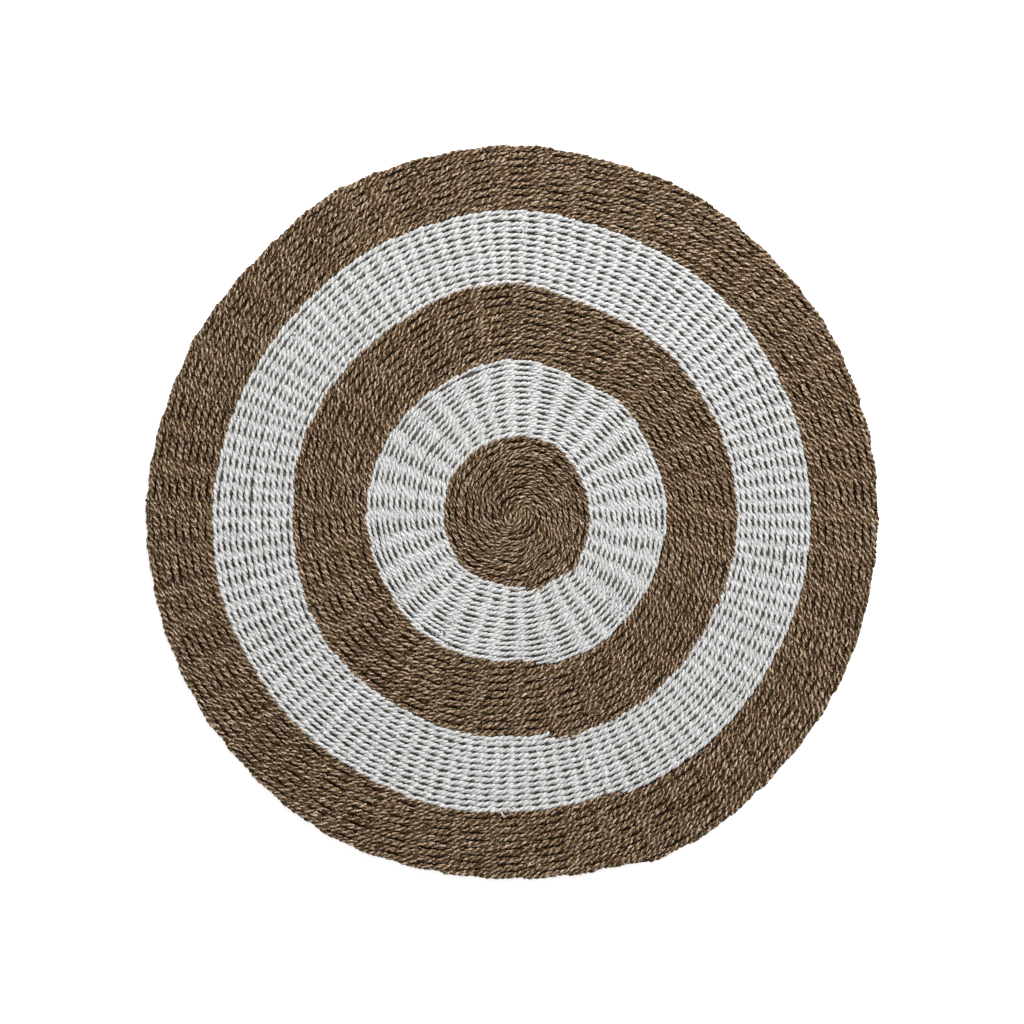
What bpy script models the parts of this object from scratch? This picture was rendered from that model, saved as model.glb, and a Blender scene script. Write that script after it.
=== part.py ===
# A round rug, twined in one piece. Two cords of weft run round dark radial warps in a spiral
# of 56 rounds, outward and clockwise as seen from above: seagrass in the middle, then white,
# seagrass, white and a seagrass border. It lies flat, so it is one flat solid, with the rounds
# raised as concentric ribs and a scalloped rim.
# Metres, +Z up. The origin is the middle of the outline's box, on the floor.
import math

import bmesh
import bpy

# Thickness over each kind of weft, and how deep the groove between two rounds is
SEAGRASS_TOP = 0.0130
SEAGRASS_GROOVE = 0.0026
RAFFIA_TOP = 0.0112
RAFFIA_GROOVE = 0.0021

# The rim is the last round, turned over the warps' ends, so it has a round nose
FOOT_INSET = 0.0050  # how far inside the outline the flat underside ends
NOSE_HEIGHT = 0.0052  # where the outline is widest
SHOULDER_INSET = 0.0016
SHOULDER_HEIGHT = 0.0098
RIM_WARPS = 108
SCALLOP_DEPTH = 0.0030  # from the crest between two warps to the notch at a warp

# The start of the weave: a low dome of parallel cords
CORE_RADIUS = 0.0160
CORE_TOP = 0.0125
CORE_SEGMENTS = 24

# Each band, from the middle out: the rounds in it, the points round each rib, what it is made of,
# the angle in degrees where its last round ends, and how far that round's end steps outward
BAND_COLUMNS = ("name", "rounds", "segments", "weft", "end_deg", "step_m")
BAND_ROWS = (
    ("middle", 10, 24, "seagrass", 278, 0.0102),
    ("inner_white", 14, 32, "raffia", 278, 0.0092),
    ("inner_brown", 10, 48, "seagrass", 277, 0.0116),
    ("outer_white", 13, 54, "raffia", 291, 0.0099),
    ("border", 9, 72, "seagrass", 288, 0.0116),
)

# Radius of each band's outer edge from the middle of the weave, in millimetres, without the
# spiral's own step. Angles are in degrees, counter-clockwise from +X as seen from above.
EDGE_COLUMNS = ("angle", "middle", "inner_white", "inner_brown", "outer_white", "border")
EDGE_ROWS = (
    (0, 111, 237, 351, 472, 582),
    (15, 110, 234, 350, 472, 581),
    (30, 111, 234, 349, 473, 583),
    (45, 114, 239, 351, 478, 582),
    (60, 118, 233, 349, 478, 588),
    (75, 118, 237, 351, 479, 587),
    (90, 118, 244, 366, 488, 594),
    (105, 117, 241, 366, 486, 593),
    (120, 117, 237, 359, 485, 597),
    (135, 115, 238, 359, 482, 590),
    (150, 117, 239, 362, 484, 594),
    (165, 117, 241, 365, 489, 597),
    (180, 117, 244, 362, 495, 604),
    (195, 119, 244, 368, 500, 605),
    (210, 121, 244, 374, 500, 608),
    (225, 124, 249, 373, 500, 610),
    (240, 123, 250, 370, 498, 612),
    (255, 120, 247, 371, 498, 604),
    (270, 123, 244, 366, 490, 601),
    (285, 122, 245, 365, 486, 602),
    (300, 119, 246, 363, 484, 600),
    (315, 123, 243, 358, 481, 591),
    (330, 116, 240, 352, 475, 589),
    (345, 115, 238, 352, 474, 584),
)
STEP_SOFTNESS = 4.0  # degrees over which a round's end tapers to nothing

BANDS = [dict(zip(BAND_COLUMNS, row)) for row in BAND_ROWS]
EDGES = [dict(zip(EDGE_COLUMNS, row)) for row in EDGE_ROWS]
TOPS = {"seagrass": SEAGRASS_TOP, "raffia": RAFFIA_TOP}
GROOVES = {"seagrass": SEAGRASS_GROOVE, "raffia": RAFFIA_GROOVE}


def smooth_between(before, start, end, after, share):
    # Catmull-Rom curve through start and end
    return 0.5 * (
        2 * start
        + (end - before) * share
        + (2 * before - 5 * start + 4 * end - after) * share**2
        + (3 * start - before - 3 * end + after) * share**3
    )


def edge_radius(band, angle):
    # The table's radius, plus the share of one round that the spiral has gained at this angle
    spacing = 360 / len(EDGES)
    place = (math.degrees(angle) % 360) / spacing
    first = int(place)
    near = [EDGES[(first + k) % len(EDGES)][band["name"]] / 1000 for k in (-1, 0, 1, 2)]
    turned = ((band["end_deg"] - math.degrees(angle)) / 360) % 1.0
    soft = STEP_SOFTNESS / 360
    gained = min(turned, (1 - turned) / soft)
    return smooth_between(*near, place - first) + band["step_m"] * gained


def scallop(angle):
    # How far the rim stands out past its mean line: most where the last round's two cords lie
    # side by side between two warps, least where one cord passes over a warp
    return SCALLOP_DEPTH * math.cos(angle * RIM_WARPS) / 2


def ring_of_points(bm, segments, radius_at, height):
    # A closed ring round the middle of the weave, at radius_at(angle)
    points = []
    for k in range(segments):
        angle = math.tau * k / segments
        radius = radius_at(angle)
        points.append(bm.verts.new((radius * math.cos(angle), radius * math.sin(angle), height)))
    return points


def zip_rings(bm, inner, outer, slot):
    # Faces between two rings, which may have different numbers of points: whichever ring's next
    # point comes first by angle takes the next triangle. Equal rings get one quad a step.
    if len(inner) == len(outer):
        for k in range(len(inner)):
            nxt = (k + 1) % len(inner)
            bm.faces.new((inner[k], outer[k], outer[nxt], inner[nxt])).material_index = slot
        return
    i = o = 0
    while i < len(inner) or o < len(outer):
        a, b = inner[i % len(inner)], outer[o % len(outer)]
        if (o + 1) * len(inner) <= (i + 1) * len(outer):
            o += 1
            corners = (a, b, outer[o % len(outer)])
        else:
            i += 1
            corners = (a, b, inner[i % len(inner)])
        bm.faces.new(corners).material_index = slot


def fan(bm, ring, centre, slot, upward):
    # Triangles from a ring to one point in its middle
    for k, point in enumerate(ring):
        after = ring[(k + 1) % len(ring)]
        corners = (point, after, centre) if upward else (after, point, centre)
        bm.faces.new(corners).material_index = slot


def start_radius(index, angle):
    # Where a band begins: at the core, or at the edge of the band before it
    return edge_radius(BANDS[index - 1], angle) if index else CORE_RADIUS


def groove_height(weft):
    return TOPS[weft] - GROOVES[weft]


def add_ribs(bm, previous, slots):
    # The top face's rings: a crest on each round and a groove between two. The border's last
    # ring is its last crest, because the rim follows it.
    for index, band in enumerate(BANDS):
        following = BANDS[index + 1] if index + 1 < len(BANDS) else None
        steps = 2 * band["rounds"]
        for step in range(1, steps + 1 if following else steps):
            share = step / steps

            def radius_at(angle):
                start = start_radius(index, angle)
                return start + (edge_radius(band, angle) - start) * share

            if step == steps:
                height = min(groove_height(band["weft"]), groove_height(following["weft"]))
            elif step % 2:
                height = TOPS[band["weft"]]
            else:
                height = groove_height(band["weft"])
            ring = ring_of_points(bm, band["segments"], radius_at, height)
            zip_rings(bm, previous, ring, slots[band["weft"]])
            previous = ring
    return previous


def add_rim(bm, previous, slot):
    # The nose of the last round, and the flat underside
    profile = ((SHOULDER_INSET, SHOULDER_HEIGHT), (0.0, NOSE_HEIGHT), (FOOT_INSET, 0.0))
    for inset, height in profile:

        def radius_at(angle):
            return edge_radius(BANDS[-1], angle) + scallop(angle) - inset

        ring = ring_of_points(bm, 2 * RIM_WARPS, radius_at, height)
        zip_rings(bm, previous, ring, slot)
        previous = ring
    fan(bm, previous, bm.verts.new((0.0, 0.0, 0.0)), slot, upward=False)


def centre_on_origin(bm):
    # Moves the middle of the outline's box to the origin
    middle = [
        (min(v.co[axis] for v in bm.verts) + max(v.co[axis] for v in bm.verts)) / 2
        for axis in (0, 1)
    ]
    bmesh.ops.translate(bm, verts=bm.verts, vec=(-middle[0], -middle[1], 0.0))


def cord_material(name, colour, roughness):
    material = bpy.data.materials.new(name)
    material.use_nodes = True
    shader = material.node_tree.nodes["Principled BSDF"]
    shader.inputs["Base Color"].default_value = (*colour, 1.0)
    shader.inputs["Roughness"].default_value = roughness
    shader.inputs["Metallic"].default_value = 0.0
    return material


def build_rug():
    bm = bmesh.new()
    slots = {"seagrass": 0, "raffia": 1}
    core_ring = ring_of_points(
        bm, CORE_SEGMENTS, lambda angle: CORE_RADIUS, groove_height("seagrass")
    )
    core_peak = bm.verts.new((0.0, 0.0, CORE_TOP))
    fan(bm, core_ring, core_peak, slots["seagrass"], upward=True)
    last_crest = add_ribs(bm, core_ring, slots)
    add_rim(bm, last_crest, slots["seagrass"])
    centre_on_origin(bm)
    mesh = bpy.data.meshes.new("rug")
    bm.to_mesh(mesh)
    bm.free()
    mesh.materials.append(cord_material("seagrass", (0.130, 0.086, 0.052), 0.75))
    mesh.materials.append(cord_material("white_raffia", (0.560, 0.550, 0.530), 0.55))
    mesh.shade_smooth()
    mesh.set_sharp_from_angle(angle=math.radians(60))
    rug = bpy.data.objects.new("rug", mesh)
    bpy.context.scene.collection.objects.link(rug)
    return rug


def main():
    for leftover in list(bpy.data.objects):
        bpy.data.objects.remove(leftover)
    build_rug()


main()
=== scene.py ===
import math

import bpy
import numpy as np
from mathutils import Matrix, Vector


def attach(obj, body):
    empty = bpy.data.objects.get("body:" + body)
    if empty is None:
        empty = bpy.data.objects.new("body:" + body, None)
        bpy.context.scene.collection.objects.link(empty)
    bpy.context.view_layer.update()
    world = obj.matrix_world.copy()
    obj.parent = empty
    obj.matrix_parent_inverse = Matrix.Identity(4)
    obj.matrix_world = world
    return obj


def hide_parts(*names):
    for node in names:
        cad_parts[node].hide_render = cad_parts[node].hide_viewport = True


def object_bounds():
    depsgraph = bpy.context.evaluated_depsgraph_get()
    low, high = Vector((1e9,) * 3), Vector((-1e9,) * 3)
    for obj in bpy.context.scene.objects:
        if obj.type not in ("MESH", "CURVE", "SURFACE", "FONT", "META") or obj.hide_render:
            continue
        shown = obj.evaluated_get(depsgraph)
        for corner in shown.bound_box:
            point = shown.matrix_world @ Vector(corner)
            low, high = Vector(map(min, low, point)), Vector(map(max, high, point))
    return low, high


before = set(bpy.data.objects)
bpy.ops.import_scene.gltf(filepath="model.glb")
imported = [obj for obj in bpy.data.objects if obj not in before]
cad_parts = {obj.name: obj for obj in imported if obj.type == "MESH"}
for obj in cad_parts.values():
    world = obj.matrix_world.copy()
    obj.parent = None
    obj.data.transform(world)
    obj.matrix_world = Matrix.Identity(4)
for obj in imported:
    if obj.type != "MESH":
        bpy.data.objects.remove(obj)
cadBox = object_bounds()

# A round rug twined from two-ply cords. Everything is worked out in metres about the weave's middle,
# with angles counter-clockwise from +X as seen from above, and then moved to the row's frame.

# The photograph looks straight down on the rug. Its frame is 1024 pixels wide.
cameraSetup = {"pixels": 1024, "metresPerPixel": 0.001633, "distance": 4.0, "sensor": 36.0}

camera = bpy.data.objects.new("camera", bpy.data.cameras.new("camera"))
camera.data.sensor_width = cameraSetup["sensor"]
camera.data.lens = (
    cameraSetup["sensor"] * cameraSetup["distance"] / (cameraSetup["pixels"] * cameraSetup["metresPerPixel"])
)
camera.location = (0.0, 0.0, cameraSetup["distance"] + float(cadBox[1][2]))
bpy.context.scene.collection.objects.link(camera)
bpy.context.scene.camera = camera
print("camera set above the rug")


# Radius of each band's outer edge from the middle of the weave in millimetres, without the spiral's
# own step: the same table as the solid's, a row for every 15 degrees.
edgeColumns = ("angle", "middle", "innerWhite", "innerBrown", "outerWhite", "border")
edgeRows = (
    (0, 111, 237, 351, 472, 582),
    (15, 110, 234, 350, 472, 581),
    (30, 111, 234, 349, 473, 583),
    (45, 114, 239, 351, 478, 582),
    (60, 118, 233, 349, 478, 588),
    (75, 118, 237, 351, 479, 587),
    (90, 118, 244, 366, 488, 594),
    (105, 117, 241, 366, 486, 593),
    (120, 117, 237, 359, 485, 597),
    (135, 115, 238, 359, 482, 590),
    (150, 117, 239, 362, 484, 594),
    (165, 117, 241, 365, 489, 597),
    (180, 117, 244, 362, 495, 604),
    (195, 119, 244, 368, 500, 605),
    (210, 121, 244, 374, 500, 608),
    (225, 124, 249, 373, 500, 610),
    (240, 123, 250, 370, 498, 612),
    (255, 120, 247, 371, 498, 604),
    (270, 123, 244, 366, 490, 601),
    (285, 122, 245, 365, 486, 602),
    (300, 119, 246, 363, 484, 600),
    (315, 123, 243, 358, 481, 591),
    (330, 116, 240, 352, 475, 589),
    (345, 115, 238, 352, 474, 584),
)
edges = {name: np.array(column) for name, column in zip(edgeColumns, zip(*edgeRows))}
edgeStep = 15
coreRadius = 0.031
stepBack = 90  # a round of the spiral falls back to its start over one part in 90 of a turn

# The solid's rim: its corners, the angle where its last round ends, how far that round grows
# outward, and how far its scallops between the warps swing each way
solidRim = {"corners": 216, "end": 288, "growth": 0.0116, "warps": 108, "scallop": 0.0015}


def throughPoints(before, start, end, after, share):
    # Catmull-Rom curve: the cubic from start to end whose slopes follow the points on either side
    return 0.5 * (
        2 * start
        + (end - before) * share
        + (2 * before - 5 * start + 4 * end - after) * share**2
        + (3 * start - before - 3 * end + after) * share**3
    )


def smoothStep(share):
    # From 0 to 1 with level ends: 3 x^2 - 2 x^3
    return share * share * (3 - 2 * share)


def edgeRadius(name, degrees):
    # A curve through the table's radii, closed round the circle, for a whole array of angles
    if name == "core":
        return np.full_like(degrees, coreRadius)
    place = (degrees % 360) / edgeStep
    first = np.floor(place).astype(int)
    around = (edges[name][(first + k) % len(edgeRows)] / 1000 for k in (-1, 0, 1, 2))
    return throughPoints(*around, place - first)


def spiralGrowth(degrees, end):
    # How far a round of the spiral has grown outward: evenly from 0 to 1 clockwise from the end
    # angle, and back to 0 over the last bit of the turn
    turned = ((end - degrees) / 360) % 1
    return np.minimum(turned, (1 - turned) * stepBack)


def weaveMiddle():
    # The solid's box is centred on the origin, so the weave's middle lies a little off it
    degrees = np.arange(0, 360, 360 / solidRim["corners"])
    radius = edgeRadius("border", degrees) + solidRim["growth"] * spiralGrowth(degrees, solidRim["end"])
    radius = radius + solidRim["scallop"] * np.cos(np.radians(degrees) * solidRim["warps"])
    x = radius * np.cos(np.radians(degrees))
    y = radius * np.sin(np.radians(degrees))
    return -np.array([(x.min() + x.max()) / 2, (y.min() + y.max()) / 2])


weaveCentre = weaveMiddle()
print("weave's middle at", weaveCentre.round(4))

# The coil at the heart sits a little off the weave's middle, and the first rounds follow it, less
# and less over the distance called fade
eye = {"place": (0.0100, -0.0065), "fade": 0.060}
eyeOffset = np.array(eye["place"]) - weaveCentre


def makeMesh(name, points, quads, caps, uv):
    # points (n, 3), quads (m, 4), caps as arrays of other faces with a row for each, uv (m, 4, 2)
    # for the quads
    mesh = bpy.data.meshes.new(name)
    faces = [quads, *caps]
    corners = np.concatenate([group.ravel() for group in faces]).astype(np.int32)
    sizes = np.concatenate([np.full(len(group), group.shape[1]) for group in faces]).astype(np.int32)
    starts = np.concatenate([[0], np.cumsum(sizes)[:-1]]).astype(np.int32)
    mesh.vertices.add(len(points))
    mesh.vertices.foreach_set("co", points.astype(np.float32).ravel())
    mesh.loops.add(len(corners))
    mesh.loops.foreach_set("vertex_index", corners)
    mesh.polygons.add(len(sizes))
    mesh.polygons.foreach_set("loop_start", starts)
    mesh.update(calc_edges=True)
    layer = mesh.uv_layers.new(name="yarn")
    places = np.zeros((len(corners), 2), np.float32)
    places[: quads.size] = uv.reshape(-1, 2)
    layer.data.foreach_set("uv", places.ravel())
    mesh.validate()
    mesh.shade_smooth()
    piece = bpy.data.objects.new(name, mesh)
    bpy.context.scene.collection.objects.link(piece)
    return piece


def smoothNoise(rng, length, spacing, at, columns=None):
    # Normal noise at evenly spaced knots, read between them with a smooth step; columns makes a
    # table with that many independent noises side by side
    count = int(length / spacing) + 3
    knots = rng.normal(0, 1, count if columns is None else (count, columns))
    place = np.clip(at / spacing, 0, count - 2.001)  # just inside the last pair of knots
    first = np.floor(place).astype(int)
    share = smoothStep(place - first)
    if columns is not None:
        share = share[:, None]
    return knots[first] * (1 - share) + knots[first + 1] * share


# A two-ply cord's section: its corners' angles in degrees, and which of them lie in a groove between
# the plies (marked 1). It is flattened a little, as the weave presses it against the warps.
cordSection = {"angles": (-34, 34, 90, 146, 214, 270), "grooves": (0, 0, 1, 0, 0, 1), "flat": 0.76}


def twistedTube(line, thickness, yarn, uvStart, widen=1.0):
    # The section carried along the line, turned by one full turn for each lay of length, so the
    # plies run as helices. Each corner has its own lumps, as the blades of grass in a ply lie
    # unevenly, and the floor presses it flat. widen spreads the cord sideways only.
    # u is the length in metres from uvStart, which gives each cord its own part of the pattern and
    # its own random lumps, and v the share of the way round.
    ahead = np.gradient(line, axis=0)
    ahead /= np.linalg.norm(ahead, axis=1, keepdims=True)
    side = np.cross([0.0, 0.0, 1.0], ahead)
    side /= np.linalg.norm(side, axis=1, keepdims=True)
    top = np.cross(ahead, side)
    along = np.concatenate([[0.0], np.cumsum(np.linalg.norm(np.diff(line, axis=0), axis=1))])
    corner = np.radians(cordSection["angles"])
    depth = np.where(cordSection["grooves"], yarn["groove"], 1.0)
    count, sides = len(line), len(corner)
    rng = np.random.default_rng(int(uvStart) + count)
    waver = yarn["waver"] * smoothNoise(rng, along[-1], yarn["waverLength"], along)
    angle = corner[None, :] + (math.tau * along / yarn["lay"] + waver)[:, None]
    reach = np.asarray(thickness).reshape(-1, 1) / 2 * depth[None, :]
    lumps = smoothNoise(rng, along[-1], yarn["lump"], along, sides)
    reach = reach * (1 + yarn["lumps"] * lumps)
    wide = reach * np.broadcast_to(widen, count)[:, None]
    points = (
        line[:, None, :]
        + (wide * np.cos(angle))[:, :, None] * side[:, None, :]
        + (reach * np.sin(angle) * cordSection["flat"])[:, :, None] * top[:, None, :]
    )
    points[:, :, 2] = np.maximum(points[:, :, 2], 0.0)
    step = np.arange(count - 1)[:, None] * sides
    here = np.arange(sides)[None, :]
    after = (here + 1) % sides
    quads = np.stack([step + here, step + after, step + sides + after, step + sides + here], -1)
    share = np.append(corner, corner[0] + math.tau) / math.tau
    u = along + uvStart
    first = np.broadcast_to(share[:-1], (count - 1, sides))
    second = np.broadcast_to(share[1:], (count - 1, sides))
    low = np.broadcast_to(u[:-1, None], (count - 1, sides))
    high = np.broadcast_to(u[1:, None], (count - 1, sides))
    uv = np.stack(
        [np.stack([low, first], -1), np.stack([low, second], -1),
         np.stack([high, second], -1), np.stack([high, first], -1)], 2
    )
    last = (count - 1) * sides
    caps = [np.arange(sides)[None, ::-1], np.arange(last, last + sides)[None, :]]
    return points.reshape(-1, 3), quads.reshape(-1, 4), caps, uv.reshape(-1, 4, 2)


# lay is the length of one full turn of the plies, minus for a left-handed twist. The twist wavers by
# waver radians over waverLength. groove is the radius in the grooves between the plies, as a share
# of the crowns', width the cord's width over a warp as a share of the rows' pitch, and slack how
# much wider it lies between warps. uneven is for the whole cord's thickness, and lumps for each
# corner's own, over the length lump.
yarns = {
    "seagrass": {"lay": -0.0235, "waver": 0.7, "waverLength": 0.009, "groove": 0.36, "width": 0.635,
                 "slack": 0.0, "uneven": 0.09, "lumps": 0.17, "lump": 0.0045},
    "coil": {"lay": -0.0340, "waver": 0.7, "waverLength": 0.009, "groove": 0.40, "lumps": 0.17,
             "lump": 0.0045},
    "raffia": {"lay": -0.0230, "waver": 0.2, "waverLength": 0.010, "groove": 0.62, "width": 0.75,
               "slack": 0.05, "uneven": 0.07, "lumps": 0.08, "lump": 0.0050},
}

# How each yarn runs through the weave. Sideways moves are shares of the rows' pitch.
# low is the height of a cord's middle under a warp. It goes down there only where 1 + the cosine of
# its path is less than dip, so a small dip is a short one. apart is the distance between the rows of
# a round's two cords. swing is how far a cord moves sideways, and skew how long it goes on moving
# outward before it comes back. spread is how far a band's first and last rows press outward.
# At its end a cord is drawn in by drawIn rows over tail warps, and rimDrop lowers the last round.
weftPaths = {
    "seagrass": {"low": 0.0048, "dip": 0.28, "apart": 0.42, "swing": 0.10, "skew": 0.74,
                 "spread": (-0.14, 0.20), "drawIn": 0.0, "tail": 1.0, "rimDrop": 0.0},
    "raffia": {"low": 0.0026, "apart": 0.0, "skew": 0.68,
               "spread": (-0.12, 0.20), "drawIn": 0.0, "tail": 1.0, "rimDrop": 0.0},
}

# Each band of weft, with what differs from its yarn's path. It starts at the angle where the band
# inside it ends, and runs clockwise. part is the share of the way between its two edges that it
# fills. high is the height of a cord's middle over a warp, and sag how much lower it lies between
# two warps. over and under are the steps of its tube across each half.
bands = (
    {"name": "heart", "yarn": "seagrass", "inner": "core", "outer": "middle", "part": (0, 6 / 9),
     "rounds": 6, "warps": 16, "start": 278, "end": 278, "high": 0.0088, "sag": 0.0008,
     "over": 10, "under": 10, "seed": 11},
    {"name": "middle", "yarn": "seagrass", "inner": "core", "outer": "middle", "part": (6 / 9, 1),
     "rounds": 3, "warps": 32, "start": 278, "end": 278, "high": 0.0090, "sag": 0.0010,
     "over": 11, "under": 10, "seed": 17},
    {"name": "innerWhite", "yarn": "raffia", "inner": "middle", "outer": "innerWhite", "part": (0, 1),
     "rounds": 14, "warps": 32, "start": 278, "end": 278, "high": 0.0088, "sag": 0.0014,
     "dip": 0.72, "swing": 0.31, "over": 18, "under": 9, "seed": 23},
    {"name": "innerBrown", "yarn": "seagrass", "inner": "innerWhite", "outer": "innerBrown", "part": (0, 1),
     "rounds": 10, "warps": 64, "start": 278, "end": 277, "high": 0.0096, "sag": 0.0014,
     "over": 12, "under": 11, "seed": 37},
    {"name": "outerWhite", "yarn": "raffia", "inner": "innerBrown", "outer": "outerWhite", "part": (0, 1),
     "rounds": 13, "warps": 108, "start": 277, "end": 291, "high": 0.0088, "sag": 0.0012,
     "dip": 0.76, "swing": 0.27, "over": 11, "under": 6, "seed": 41},
    {"name": "border", "yarn": "seagrass", "inner": "outerWhite", "outer": "border", "part": (0, 1),
     "rounds": 9, "warps": 108, "start": 291, "end": 284, "high": 0.0096, "sag": 0.0012,
     "spread": (-0.12, -0.04), "drawIn": 1.0, "tail": 2.6, "rimDrop": 0.0040,
     "over": 11, "under": 10, "seed": 53},
)

# How a cord's end slips under the next row: over how many warps, how deep, and how much thinner
tuck = {"length": 0.8, "sink": 0.0024, "thin": 0.35}

# The rim's round goes down between these two distances from its end, in rounds, and the inner of its
# two cords by this share of rimDrop
rimRound = {"from": 1.1, "to": 0.6, "inner": 0.4}

# How far the warps lie from their even places and how tightly each holds the cords, as shares of
# the spacing between warps
warpUneven = {"base": 0.08, "drift": 0.10, "each": 0.08, "tight": 0.04}

# How a hand's work varies: the slow wander of a row and the warps it takes, the push at a crossing,
# the height over a warp, the swing, and the warps that a change of thickness takes
handUneven = {"wander": 0.04, "wanderWarps": 7.0, "push": 0.06, "lift": 0.05, "swing": 0.16,
              "thickWarps": 0.7}
shortestStep = 0.02  # in warps, between a cord's end and its first step
strandPattern = 1000.0  # metres between the two cords' parts of the pattern


def warpShift(warps, crossing, turn, rounds, rng):
    # How far each crossing lies from its even place, as a share of the spacing: the warp's own
    # offset, its slant over the band's width, and a little for each crossing
    own = rng.normal(0, warpUneven["base"], warps)
    slant = rng.normal(0, warpUneven["drift"], warps)
    number = np.round(crossing).astype(int) % warps
    return own[number] + slant[number] * (turn / rounds - 0.5) + rng.normal(
        0, warpUneven["each"], len(crossing)
    )


def weftSteps(band, strand, total):
    # Where the tube has its rings, in warps along the spiral: over steps across each crest and under
    # steps across each dip, between the cord's two ends
    over = np.arange(band["over"]) / band["over"] - 0.5
    under = np.arange(band["under"]) / band["under"] + 0.5
    pairs = np.arange(-1, int(total / 2) + 2) * 2
    u = (pairs[:, None] + np.concatenate([over, under])[None, :]).ravel() - strand
    return np.concatenate([[0.0], u[(u > shortestStep) & (u < total - shortestStep)], [total]])


def weftLine(band, strand):
    # One of a band's two cords. u counts warps clockwise along the spiral. Over a warp (u + strand
    # even) the cord is up, and it moves outward as it goes clockwise; under the next it comes back
    # in, hidden. Radius = inner edge + pitch * (turns + the cord's row + spread + wander + swing * a
    # skewed sine, which rises slowly and falls fast), height = low + (high - low - sag * sin^2) * a
    # smooth step of the cosine.
    rng = np.random.default_rng(band["seed"])
    yarn = yarns[band["yarn"]]
    total = (band["rounds"] + (band["start"] - band["end"]) / 360) * band["warps"]
    u = weftSteps(band, strand, total)
    phase = math.pi * (u + strand)
    # what the hand and the warps do at each crossing
    crossing = np.arange(-1, math.ceil(total) + 2)
    number = np.round(crossing).astype(int) % band["warps"]
    shift = warpShift(band["warps"], crossing, crossing / band["warps"], band["rounds"], rng)
    lift = 1 + rng.normal(0, handUneven["lift"], len(crossing))
    push = rng.normal(0, 1, len(crossing))
    tight = rng.normal(0, warpUneven["tight"], band["warps"])
    wander = smoothNoise(rng, total, handUneven["wanderWarps"], u) * handUneven["wander"]
    wander = (wander + np.interp(u, crossing, push) * handUneven["push"]) * (1 - band["apart"])
    swing = 1 + rng.normal(0, handUneven["swing"], len(crossing))
    # the radius
    degrees = band["start"] - 360 * (u + np.interp(u, crossing, shift)) / band["warps"]
    edgeIn, edgeOut = edgeRadius(band["inner"], degrees), edgeRadius(band["outer"], degrees)
    inner, outer = (edgeIn + (edgeOut - edgeIn) * share for share in band["part"])
    pitch = (outer - inner) / band["rounds"]
    skew = band["skew"]
    sway = np.arctan2(skew * np.sin(phase), 1 + skew * np.cos(phase)) / math.asin(skew)
    sway = sway * band["swing"] * np.interp(u, crossing, swing)
    spread = band["spread"][0] + (band["spread"][1] - band["spread"][0]) * u / total
    row = 0.5 + band["apart"] * (strand - 0.5)
    radius = inner + pitch * (u / band["warps"] + row + spread + wander + sway)
    drawn = np.clip(1 - (total - u) / band["tail"], 0, 1)
    radius = radius - pitch * band["drawIn"] * smoothStep(drawn)
    # the height
    up = smoothStep(np.clip((1 + np.cos(phase)) / band["dip"], 0, 1)) * np.interp(u, crossing, lift)
    height = band["low"] + (band["high"] - band["low"] - band["sag"] * np.sin(phase) ** 2) * up
    tucked = np.clip(1 - np.minimum(u, total - u) / tuck["length"], 0, 1) ** 2
    toEnd = (total - u) / band["warps"]
    last = np.clip((rimRound["from"] - toEnd) / (rimRound["from"] - rimRound["to"]), 0, 1)
    share = rimRound["inner"] + (1 - rimRound["inner"]) * strand
    height = height - tuck["sink"] * tucked - band["rimDrop"] * share * last
    # the line, and the cord's thickness along it
    angle = np.radians(degrees)
    line = np.stack([radius * np.cos(angle), radius * np.sin(angle), height], -1)
    near = np.clip(1 - (radius - coreRadius) / eye["fade"], 0, 1)
    line[:, :2] += weaveCentre + near[:, None] * eyeOffset
    own = np.random.default_rng(band["seed"] + 1000 * (strand + 1))
    uneven = yarn["uneven"] * smoothNoise(own, total, handUneven["thickWarps"], u)
    uneven = 1 + uneven + np.interp(u, crossing, tight[number])
    thickness = pitch * yarn["width"] * uneven * (1 - tuck["thin"] * tucked)
    return line, thickness, 1 + yarn["slack"] * np.sin(phase) ** 2


wefts = []
for given in bands:
    band = {**weftPaths[given["yarn"]], **given}
    for strand, word in enumerate(("One", "Two")):
        line, thickness, widen = weftLine(band, strand)
        uvStart = strandPattern * strand + band["seed"]
        parts = twistedTube(line, thickness, yarns[band["yarn"]], uvStart, widen)
        piece = makeMesh(band["name"] + "Weft" + word, *parts)
        piece["yarn"] = band["yarn"]
        wefts.append(piece)
        print(piece.name, "has", 2 * len(parts[1]), "triangles")


# The heart of the rug is a flattened coil of thinner cord, longer along one diagonal. long and short
# are its radii along and across that diagonal after the given turns.
core = {
    "direction": 50,
    "turns": (0.0, 0.5, 1.0, 2.0, 3.0, 4.0, 4.367),
    "long": (0.0100, 0.0130, 0.0162, 0.0222, 0.0272, 0.0322, 0.0345),
    "short": (0.0014, 0.0028, 0.0056, 0.0132, 0.0208, 0.0290, 0.0335),
    "thickness": 0.0068,
    "height": 0.0084,
    "ripple": 0.0009,
    "ripples": 8.5,
    "endTurns": 0.3,
    "endSink": 0.003,
    "steps": 60,
    "uvStart": 3002.0,
}


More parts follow.
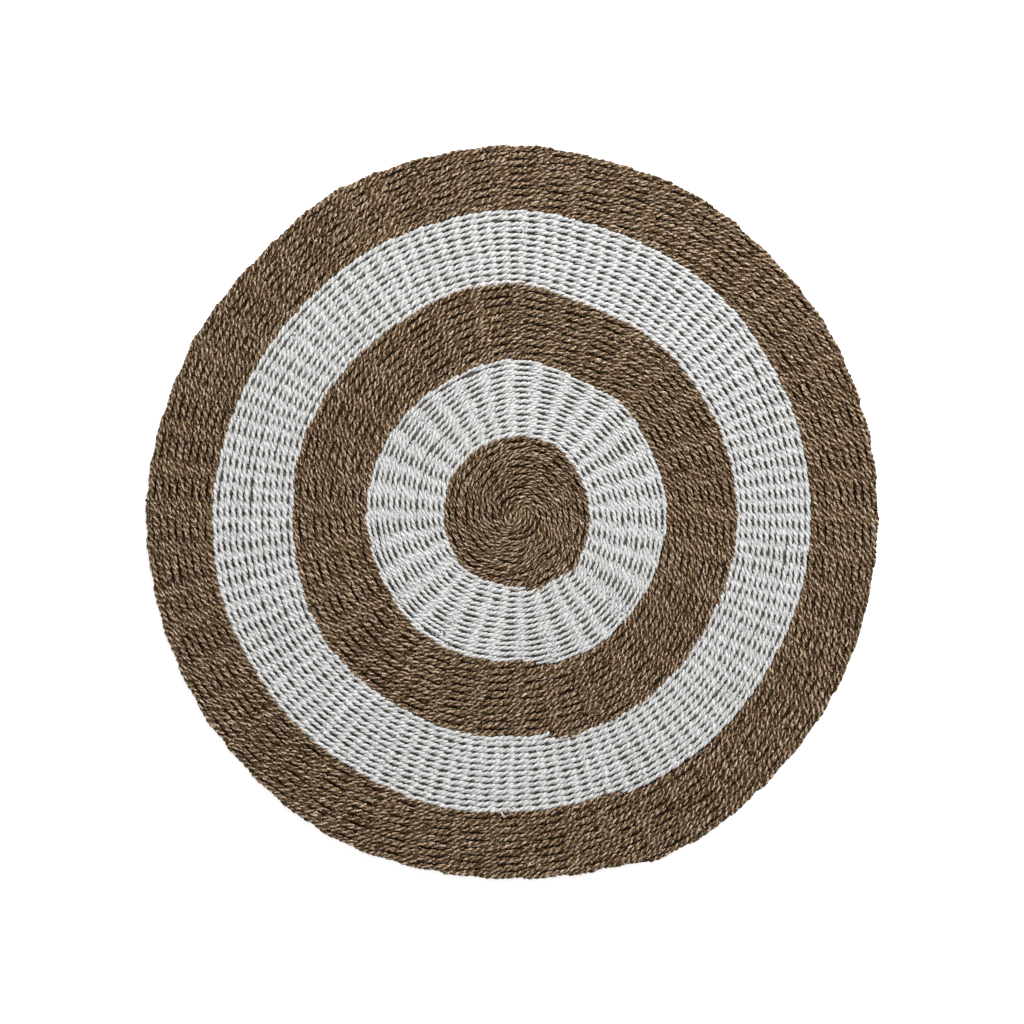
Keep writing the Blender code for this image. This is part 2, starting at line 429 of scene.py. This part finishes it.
def coreLine():
    # A clockwise spiral stretched along the diagonal: long radius * cosine, short radius * sine, with
    # a small ripple in its height and its end sunk under the first row
    turn = np.arange(0, core["turns"][-1], 1 / core["steps"])
    angle = -math.tau * turn
    along = np.interp(turn, core["turns"], core["long"]) * np.cos(angle)
    across = np.interp(turn, core["turns"], core["short"]) * np.sin(angle)
    tilt = math.radians(core["direction"])
    x = eye["place"][0] + along * math.cos(tilt) - across * math.sin(tilt)
    y = eye["place"][1] + along * math.sin(tilt) + across * math.cos(tilt)
    ripple = core["ripple"] * np.sin(turn * math.tau * core["ripples"])
    end = core["turns"][-1]
    sink = np.interp(turn, (0, end - core["endTurns"], end), (0, 0, core["endSink"]))
    return np.stack([x, y, core["height"] + ripple - sink], -1)


line = coreLine()
parts = twistedTube(line, np.full(len(line), core["thickness"]), yarns["coil"], core["uvStart"])
coil = makeMesh("coreCoil", *parts)
coil["yarn"] = "seagrass"
wefts.append(coil)
print("core coiled")


# Cord ends that lie loose on the rug: points along each from the rug's centre, in millimetres
looseEnds = (
    {"name": "whiteTail", "yarn": "raffia", "thickness": 0.0080,
     "path": ((32, -373, 7), (40, -370.5, 9), (48, -368, 10), (55, -364, 10.0), (61, -359, 9.4))},
    {"name": "whiteStub", "yarn": "raffia", "thickness": 0.0040,
     "path": ((-17, -489, 7), (-17, -492, 11), (-15, -495.5, 12.5), (-12, -498, 12))},
    {"name": "brownTail", "yarn": "seagrass", "thickness": 0.0030,
     "path": ((149, -450, 9), (150.5, -454, 12), (153, -460, 12.5), (155.5, -465, 10))},
)


tip = {"share": 0.6, "growth": 0.2}  # a cord's thickness at its tip, and its growth with each step back
looseStart = 4000.0  # where the loose ends' part of the pattern starts


def smoothPath(points, steps=9):
    # A curve through the points, its ends held straight
    given = np.array(points) / 1000
    knots = np.concatenate([[2 * given[0] - given[1]], given, [2 * given[-1] - given[-2]]])
    place = np.arange((len(given) - 1) * steps + 1) / steps
    first = np.minimum(place.astype(int), len(given) - 2)
    return throughPoints(*(knots[first + k] for k in range(4)), (place - first)[:, None])


for number, loose in enumerate(looseEnds):
    line = smoothPath(loose["path"])
    taper = np.minimum(1.0, tip["share"] + tip["growth"] * np.arange(len(line))[::-1])
    uvStart = looseStart + number
    parts = twistedTube(line, loose["thickness"] * taper, yarns[loose["yarn"]], uvStart)
    piece = makeMesh(loose["name"], *parts)
    piece["yarn"] = loose["yarn"]
    wefts.append(piece)
print("loose ends laid")


# The warps, dark bundles that run out from the core under the weft, as one ridged sheet. Each of its
# rings follows an edge, at an offset in metres, and says whether it lies in a white band (1), where
# the warps' colour takes painted bounce light from the white cords. growth is how far the edges move
# outward along one round of the spiral. The number of warps goes up at each of the radii in steps,
# and a warp lies at firstWarp degrees.
warpSheet = {
    "height": 0.0034,
    "web": 0.0003,
    "rib": 0.0030,
    "rimHalf": 0.0004,
    "middleHalf": 0.002,
    "across": 648,
    "firstWarp": 278,
    "steps": (0.24, 0.37),
    "counts": (32, 64, 108),
    "end": 286,
    "growth": 0.008,
    "rimGrowth": 0.0116,
    "rings": (
        ("core", -0.010, 0), ("middle", -0.020, 0), ("middle", 0.0, 0), ("middle", 0.003, 1),
        ("innerWhite", -0.040, 1), ("innerWhite", -0.003, 1), ("innerWhite", 0.0, 0),
        ("innerBrown", -0.040, 0), ("innerBrown", 0.0, 0), ("innerBrown", 0.003, 1),
        ("outerWhite", -0.040, 1), ("outerWhite", -0.003, 1), ("outerWhite", 0.0, 0),
        ("border", -0.040, 0), ("border", -0.012, 0), ("border", -0.003, 0),
    ),
}


def warpGround():
    # A closed sheet over the whole rug: half thickness = web + rib * cos^4 of the place between warps
    across, rings = warpSheet["across"], len(warpSheet["rings"])
    degrees = np.arange(across) * 360 / across
    turned = spiralGrowth(degrees, warpSheet["end"])
    rows = []
    for edge, offset, inWhite in warpSheet["rings"]:
        growth = warpSheet["rimGrowth" if edge == "border" else "growth"]
        rows.append(edgeRadius(edge, degrees) + offset + growth * turned)
    radius = np.stack(rows)
    angle = np.radians(degrees)[None, :]
    warps = np.array(warpSheet["counts"])[np.digitize(radius, warpSheet["steps"])]
    rib = np.cos((angle - math.radians(warpSheet["firstWarp"])) * warps / 2) ** 4
    half = warpSheet["web"] + warpSheet["rib"] * rib
    half[-1] = warpSheet["rimHalf"]
    x = radius * np.cos(angle) + weaveCentre[0]
    y = radius * np.sin(angle) + weaveCentre[1]
    upper = np.stack([x, y, warpSheet["height"] + half], -1).reshape(-1, 3)
    lower = np.stack([x, y, warpSheet["height"] - half], -1).reshape(-1, 3)
    ends = [[*weaveCentre, warpSheet["height"] + side * warpSheet["middleHalf"]] for side in (1, -1)]
    points = np.concatenate([upper, lower, ends])
    ring = np.arange(rings - 1)[:, None] * across
    here = np.arange(across)[None, :]
    after = (here + 1) % across
    top = np.stack([ring + here, ring + across + here, ring + across + after, ring + after], -1)
    top = top.reshape(-1, 4)
    shift = rings * across
    bottom = top[:, ::-1] + shift
    last = (rings - 1) * across
    here, after = here.ravel(), after.ravel()
    wall = np.stack([last + here, shift + last + here, shift + last + after, last + after], -1)
    quads = np.concatenate([top, bottom, wall])
    high, low = np.full(across, len(points) - 2), np.full(across, len(points) - 1)
    caps = [np.stack([high, here, after], -1), np.stack([low, shift + after, shift + here], -1)]
    # u of the map is the radius, and v is 1 in the white bands, where the warps get painted bounce light
    inWhite = np.repeat([float(ring[2]) for ring in warpSheet["rings"]], across)
    white = np.concatenate([inWhite, inWhite, [0.0, 0.0]])
    reach = np.concatenate([radius.ravel(), radius.ravel(), [0.0, 0.0]])
    uv = np.stack([reach[quads], white[quads]], -1)
    return points, quads, caps, uv


warps = makeMesh("warps", *warpGround())
print("warps laid")


class Value:
    # A socket whose arithmetic adds Math nodes to its tree
    def __init__(self, finish, socket):
        self.finish, self.socket = finish, socket

    def math(self, operation, a, b=0.0):
        return self.finish.node("ShaderNodeMath", {"operation": operation}, {0: a, 1: b})

    def __add__(self, other):
        return self.math("ADD", self, other)

    def __radd__(self, other):
        return self.math("ADD", other, self)

    def __sub__(self, other):
        return self.math("SUBTRACT", self, other)

    def __rsub__(self, other):
        return self.math("SUBTRACT", other, self)

    def __mul__(self, other):
        return self.math("MULTIPLY", self, other)

    def __rmul__(self, other):
        return self.math("MULTIPLY", other, self)

    def cosine(self):
        return self.math("COSINE", self)

    def sine(self):
        return self.math("SINE", self)


class Finish:
    # One material and its node tree
    def __init__(self, name):
        self.material = bpy.data.materials.new(name)
        self.material.use_nodes = True
        self.tree = self.material.node_tree
        self.shader = self.tree.nodes["Principled BSDF"]

    def node(self, kind, settings, inputs, output=0):
        made = self.tree.nodes.new(kind)
        for key, setting in settings.items():
            if key == "stops":
                while len(made.color_ramp.elements) < len(setting):
                    made.color_ramp.elements.new(0.5)
                for element, (place, colour) in zip(made.color_ramp.elements, setting):
                    element.position = place
                    element.color = (*colour, 1.0)
            else:
                setattr(made, key, setting)
        for key, given in inputs.items():
            self.feed(made.inputs[key], given)
        return Value(self, made.outputs[output])

    def feed(self, socket, given):
        if isinstance(given, Value):
            self.tree.links.new(given.socket, socket)
        elif hasattr(given, "__len__") and len(given) == 3 and socket.type == "RGBA":
            socket.default_value = (*given, 1.0)
        else:
            socket.default_value = given

    def mix(self, share, a, b):
        settings = {"data_type": "RGBA", "blend_type": "MIX", "clamp_factor": True}
        return self.node("ShaderNodeMix", settings, {0: share, 6: a, 7: b}, 2)

    def surface(self, **given):
        for key, value in given.items():
            self.feed(self.shader.inputs[key.replace("_", " ")], value)


def yarnPlaces(finish):
    # The cord's own coordinates: length along it, and the way round as an angle so no seam shows
    uv = finish.node("ShaderNodeUVMap", {"uv_map": "yarn"}, {})
    along = finish.node("ShaderNodeSeparateXYZ", {}, {0: uv}, 0)
    around = finish.node("ShaderNodeSeparateXYZ", {}, {0: uv}, 1) * math.tau
    return along, around


def streaks(finish, along, around, noise):
    # Noise over a tube, from its repeats in a metre of the cord, its repeats round it and its detail
    perMetre, perRound, detail = noise
    place = {0: along * perMetre, 1: around.cosine() * perRound, 2: around.sine() * perRound}
    place = finish.node("ShaderNodeCombineXYZ", {}, place)
    return finish.node("ShaderNodeTexNoise", {}, {"Vector": place, "Scale": 1.0, "Detail": detail}, 0)


def crowns(around):
    # 1 along the two plies' crowns and 0 in the grooves between them
    # the cords' colours use this as a painted highlight on the crowns and painted shade in the grooves
    return (around * 2.0).cosine() * 0.5 + 0.5


# Each noise is given by its repeats in a metre of the cord, its repeats round it and its detail, and
# mixing says how much each adds to the tone, which picks the colour from the ramp. heart says
# between what distances from the coil's middle the cord is lighter and yellower.
seagrassLook = {
    # the ramp's dark end is reached by dark blades and, in the ply grooves, by painted shade; its straw end
    # by light blades and, on the crowns, by a painted highlight
    "dark": (0.036, 0.0140, 0.0015),
    "plain": (0.130, 0.0735, 0.0290),
    "straw": (0.720, 0.565, 0.430),
    "rampPlaces": (0.20, 0.46, 0.84),
    "olive": (0.155, 0.120, 0.050),
    "oliveHues": (0.52, 0.66),
    "oliveMost": 0.45,
    "red": (0.200, 0.092, 0.060),
    "redHues": (0.40, 0.30),
    "redMost": 0.3,
    "heart": (0.030, 0.012),
    "heartTint": (0.270, 0.200, 0.090),
    "heartMost": 0.2,
    "heartTone": 0.08,
    "noises": {
        "blade": (110.0, 2.0, 2.0),
        "fibre": (280.0, 4.0, 1.0),
        "grain": (560.0, 8.0, 1.0),
        "patch": (7.0, 0.1, 2.0),
        "hue": (5.0, 0.5, 2.0),
    },
    "hueShift": 40.0,
    # the crown share paints a highlight on the plies' crowns and shade in their grooves
    "mixing": {"blade": 1.4, "fibre": 1.8, "grain": 1.2, "patch": 0.6, "paintedPlyShading": 0.55, "level": 2.45},
    "relief": {"Strength": 0.6, "Distance": 0.0006},
    "roughness": 0.6,
    "sheen": 0.12,
}


def seagrassFinish():
    look, mixing = seagrassLook, seagrassLook["mixing"]
    finish = Finish("seagrass")
    along, around = yarnPlaces(finish)
    blade = streaks(finish, along, around, look["noises"]["blade"])
    fibre = streaks(finish, along, around, look["noises"]["fibre"])
    grain = streaks(finish, along, around, look["noises"]["grain"])
    patch = streaks(finish, along, around, look["noises"]["patch"])
    hue = streaks(finish, along + look["hueShift"], around, look["noises"]["hue"])
    # painted highlight on the plies' crowns and painted shade in their grooves
    paintedPlyShading = crowns(around)
    tone = blade * mixing["blade"] + fibre * mixing["fibre"] + grain * mixing["grain"]
    tone = tone + patch * mixing["patch"] + paintedPlyShading * paintedPlyShading * mixing["paintedPlyShading"] - mixing["level"]
    spot = finish.node("ShaderNodeTexCoord", {}, {}, 3)
    distance = {0: spot, 1: (*eye["place"], 0.0)}
    distance = finish.node("ShaderNodeVectorMath", {"operation": "DISTANCE"}, distance, 1)
    near = finish.node("ShaderNodeMapRange", {}, {0: distance, 1: look["heart"][0], 2: look["heart"][1]})
    stops = tuple(zip(look["rampPlaces"], (look["dark"], look["plain"], look["straw"])))
    colour = finish.node("ShaderNodeValToRGB", {"stops": stops}, {0: tone + near * look["heartTone"]})
    (oliveFrom, oliveTo), (redFrom, redTo) = look["oliveHues"], look["redHues"]
    olive = finish.node("ShaderNodeMapRange", {}, {0: hue, 1: oliveFrom, 2: oliveTo})
    red = finish.node("ShaderNodeMapRange", {}, {0: hue, 1: redFrom, 2: redTo})
    colour = finish.mix(olive * look["oliveMost"], colour, look["olive"])
    colour = finish.mix(red * look["redMost"], colour, look["red"])
    colour = finish.mix(near * look["heartMost"], colour, look["heartTint"])
    relief = finish.node("ShaderNodeBump", {}, {**look["relief"], "Height": fibre})
    finish.surface(Base_Color=colour, Roughness=look["roughness"], Normal=relief)
    finish.surface(Specular_IOR_Level=look["sheen"])
    return finish.material


raffiaLook = {
    # the darkest stop: the raffia's own greyer fibres and, in the ply grooves, painted shade
    "greyAndShade": (0.28, 0.275, 0.265),
    "plain": (0.45, 0.45, 0.442),
    "light": (0.69, 0.69, 0.68),
    "rampPlaces": (0.25, 0.50, 0.75),
    "noises": {"blade": (110.0, 1.2, 2.0), "fibre": (320.0, 5.0, 2.0)},
    # the crown share paints a highlight on the plies' crowns and shade in their grooves
    "mixing": {"blade": 1.0, "fibre": 1.8, "paintedPlyShading": 0.34, "level": 1.02},
    "relief": {"Strength": 0.5, "Distance": 0.0005},
    "roughness": 0.45,
    "sheen": 0.4,
}


def raffiaFinish():
    look, mixing = raffiaLook, raffiaLook["mixing"]
    finish = Finish("whiteRaffia")
    along, around = yarnPlaces(finish)
    blade = streaks(finish, along, around, look["noises"]["blade"])
    fibre = streaks(finish, along, around, look["noises"]["fibre"])
    # painted highlight on the plies' crowns and painted shade in their grooves
    tone = blade * mixing["blade"] + fibre * mixing["fibre"] + crowns(around) * mixing["paintedPlyShading"]
    stops = tuple(zip(look["rampPlaces"], (look["greyAndShade"], look["plain"], look["light"])))
    colour = finish.node("ShaderNodeValToRGB", {"stops": stops}, {0: tone - mixing["level"]})
    relief = finish.node("ShaderNodeBump", {}, {**look["relief"], "Height": fibre})
    finish.surface(Base_Color=colour, Roughness=look["roughness"], Normal=relief)
    finish.surface(Specular_IOR_Level=look["sheen"])
    return finish.material


warpLook = {
    # near black: the warps' own dark seagrass, darkened further as painted shade of the gaps between the
    # rows
    "dark": (0.012, 0.007, 0.003),
    "light": (0.034, 0.022, 0.012),
    # painted bounce light from the white cords, for the warps in the white bands
    "pale": (0.120, 0.110, 0.090),
    "paintedBounceShare": 0.7,
    "grain": {"Scale": 260.0, "Detail": 3.0},
    "roughness": 0.9,
    "sheen": 0.1,
}


def warpFinish():
    # Dark with painted shade, and paler by a share of painted bounce light from the white cords
    # where the map says that the band is white
    look = warpLook
    finish = Finish("warpCord")
    place = finish.node("ShaderNodeTexCoord", {}, {}, 3)
    grain = finish.node("ShaderNodeTexNoise", {}, {"Vector": place, **look["grain"]}, 0)
    uv = finish.node("ShaderNodeUVMap", {"uv_map": "yarn"}, {})
    bounceMask = finish.node("ShaderNodeSeparateXYZ", {}, {0: uv}, 1)
    colour = finish.mix(grain, look["dark"], look["light"])
    colour = finish.mix(bounceMask * look["paintedBounceShare"], colour, look["pale"])
    finish.surface(Base_Color=colour, Roughness=look["roughness"], Specular_IOR_Level=look["sheen"])
    return finish.material


yarnFinish = {"seagrass": seagrassFinish(), "raffia": raffiaFinish()}
for piece in wefts:
    piece.data.materials.append(yarnFinish[piece["yarn"]])
warps.data.materials.append(warpFinish())
print("finishes made")


# A plain pale floor that glows as painted light, washing out the rug's shadow on it, and soft studio
# light, strongest from the upper right of the picture
studio = {
    "floorSize": 24.0,
    "floorColour": (0.90, 0.90, 0.90),
    "floorRoughness": 0.9,
    # the floor's own glow: painted light that fills the rug's shadow on the floor
    "floorPaintedGlow": 0.5,
    "skyColour": (1.0, 1.0, 1.0),
    "skyStrength": 0.5,
    "lamps": (
        {"name": "keyLight", "azimuth": 65, "elevation": 42, "distance": 4.5, "size": 1.2, "watts": 230},
        {"name": "fillLight", "azimuth": 230, "elevation": 60, "distance": 4.5, "size": 3.0, "watts": 40},
    ),
}


def setStudio():
    half = studio["floorSize"] / 2
    mesh = bpy.data.meshes.new("floor")
    corners = [(-half, -half, 0), (half, -half, 0), (half, half, 0), (-half, half, 0)]
    mesh.from_pydata(corners, [], [(0, 1, 2, 3)])
    floor = bpy.data.objects.new("floor", mesh)
    bpy.context.scene.collection.objects.link(floor)
    finish = Finish("glowingFloorPaper")
    finish.surface(Base_Color=studio["floorColour"], Roughness=studio["floorRoughness"])
    # painted light: the floor glows to wash out the rug's shadow
    finish.surface(Emission_Color=studio["floorColour"], Emission_Strength=studio["floorPaintedGlow"])
    mesh.materials.append(finish.material)
    for lamp in studio["lamps"]:
        light = bpy.data.lights.new(lamp["name"], "AREA")
        light.energy = lamp["watts"]
        light.size = lamp["size"]
        holder = bpy.data.objects.new(lamp["name"], light)
        azimuth, elevation = math.radians(lamp["azimuth"]), math.radians(lamp["elevation"])
        holder.location = (
            lamp["distance"] * math.cos(azimuth) * math.cos(elevation),
            lamp["distance"] * math.sin(azimuth) * math.cos(elevation),
            lamp["distance"] * math.sin(elevation),
        )
        holder.rotation_euler = (math.pi / 2 - elevation, 0.0, azimuth + math.pi / 2)
        bpy.context.scene.collection.objects.link(holder)
    world = bpy.data.worlds.new("studio")
    world.use_nodes = True
    background = world.node_tree.nodes["Background"]
    background.inputs["Color"].default_value = (*studio["skyColour"], 1.0)
    background.inputs["Strength"].default_value = studio["skyStrength"]
    bpy.context.scene.world = world
    bpy.context.scene.view_settings.view_transform = "Standard"


setStudio()
print("studio set")

for piece in wefts + [warps]:
    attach(piece, "root")
    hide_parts("rug")
    "white_raffia" if piece.get("yarn") == "raffia" else "seagrass"
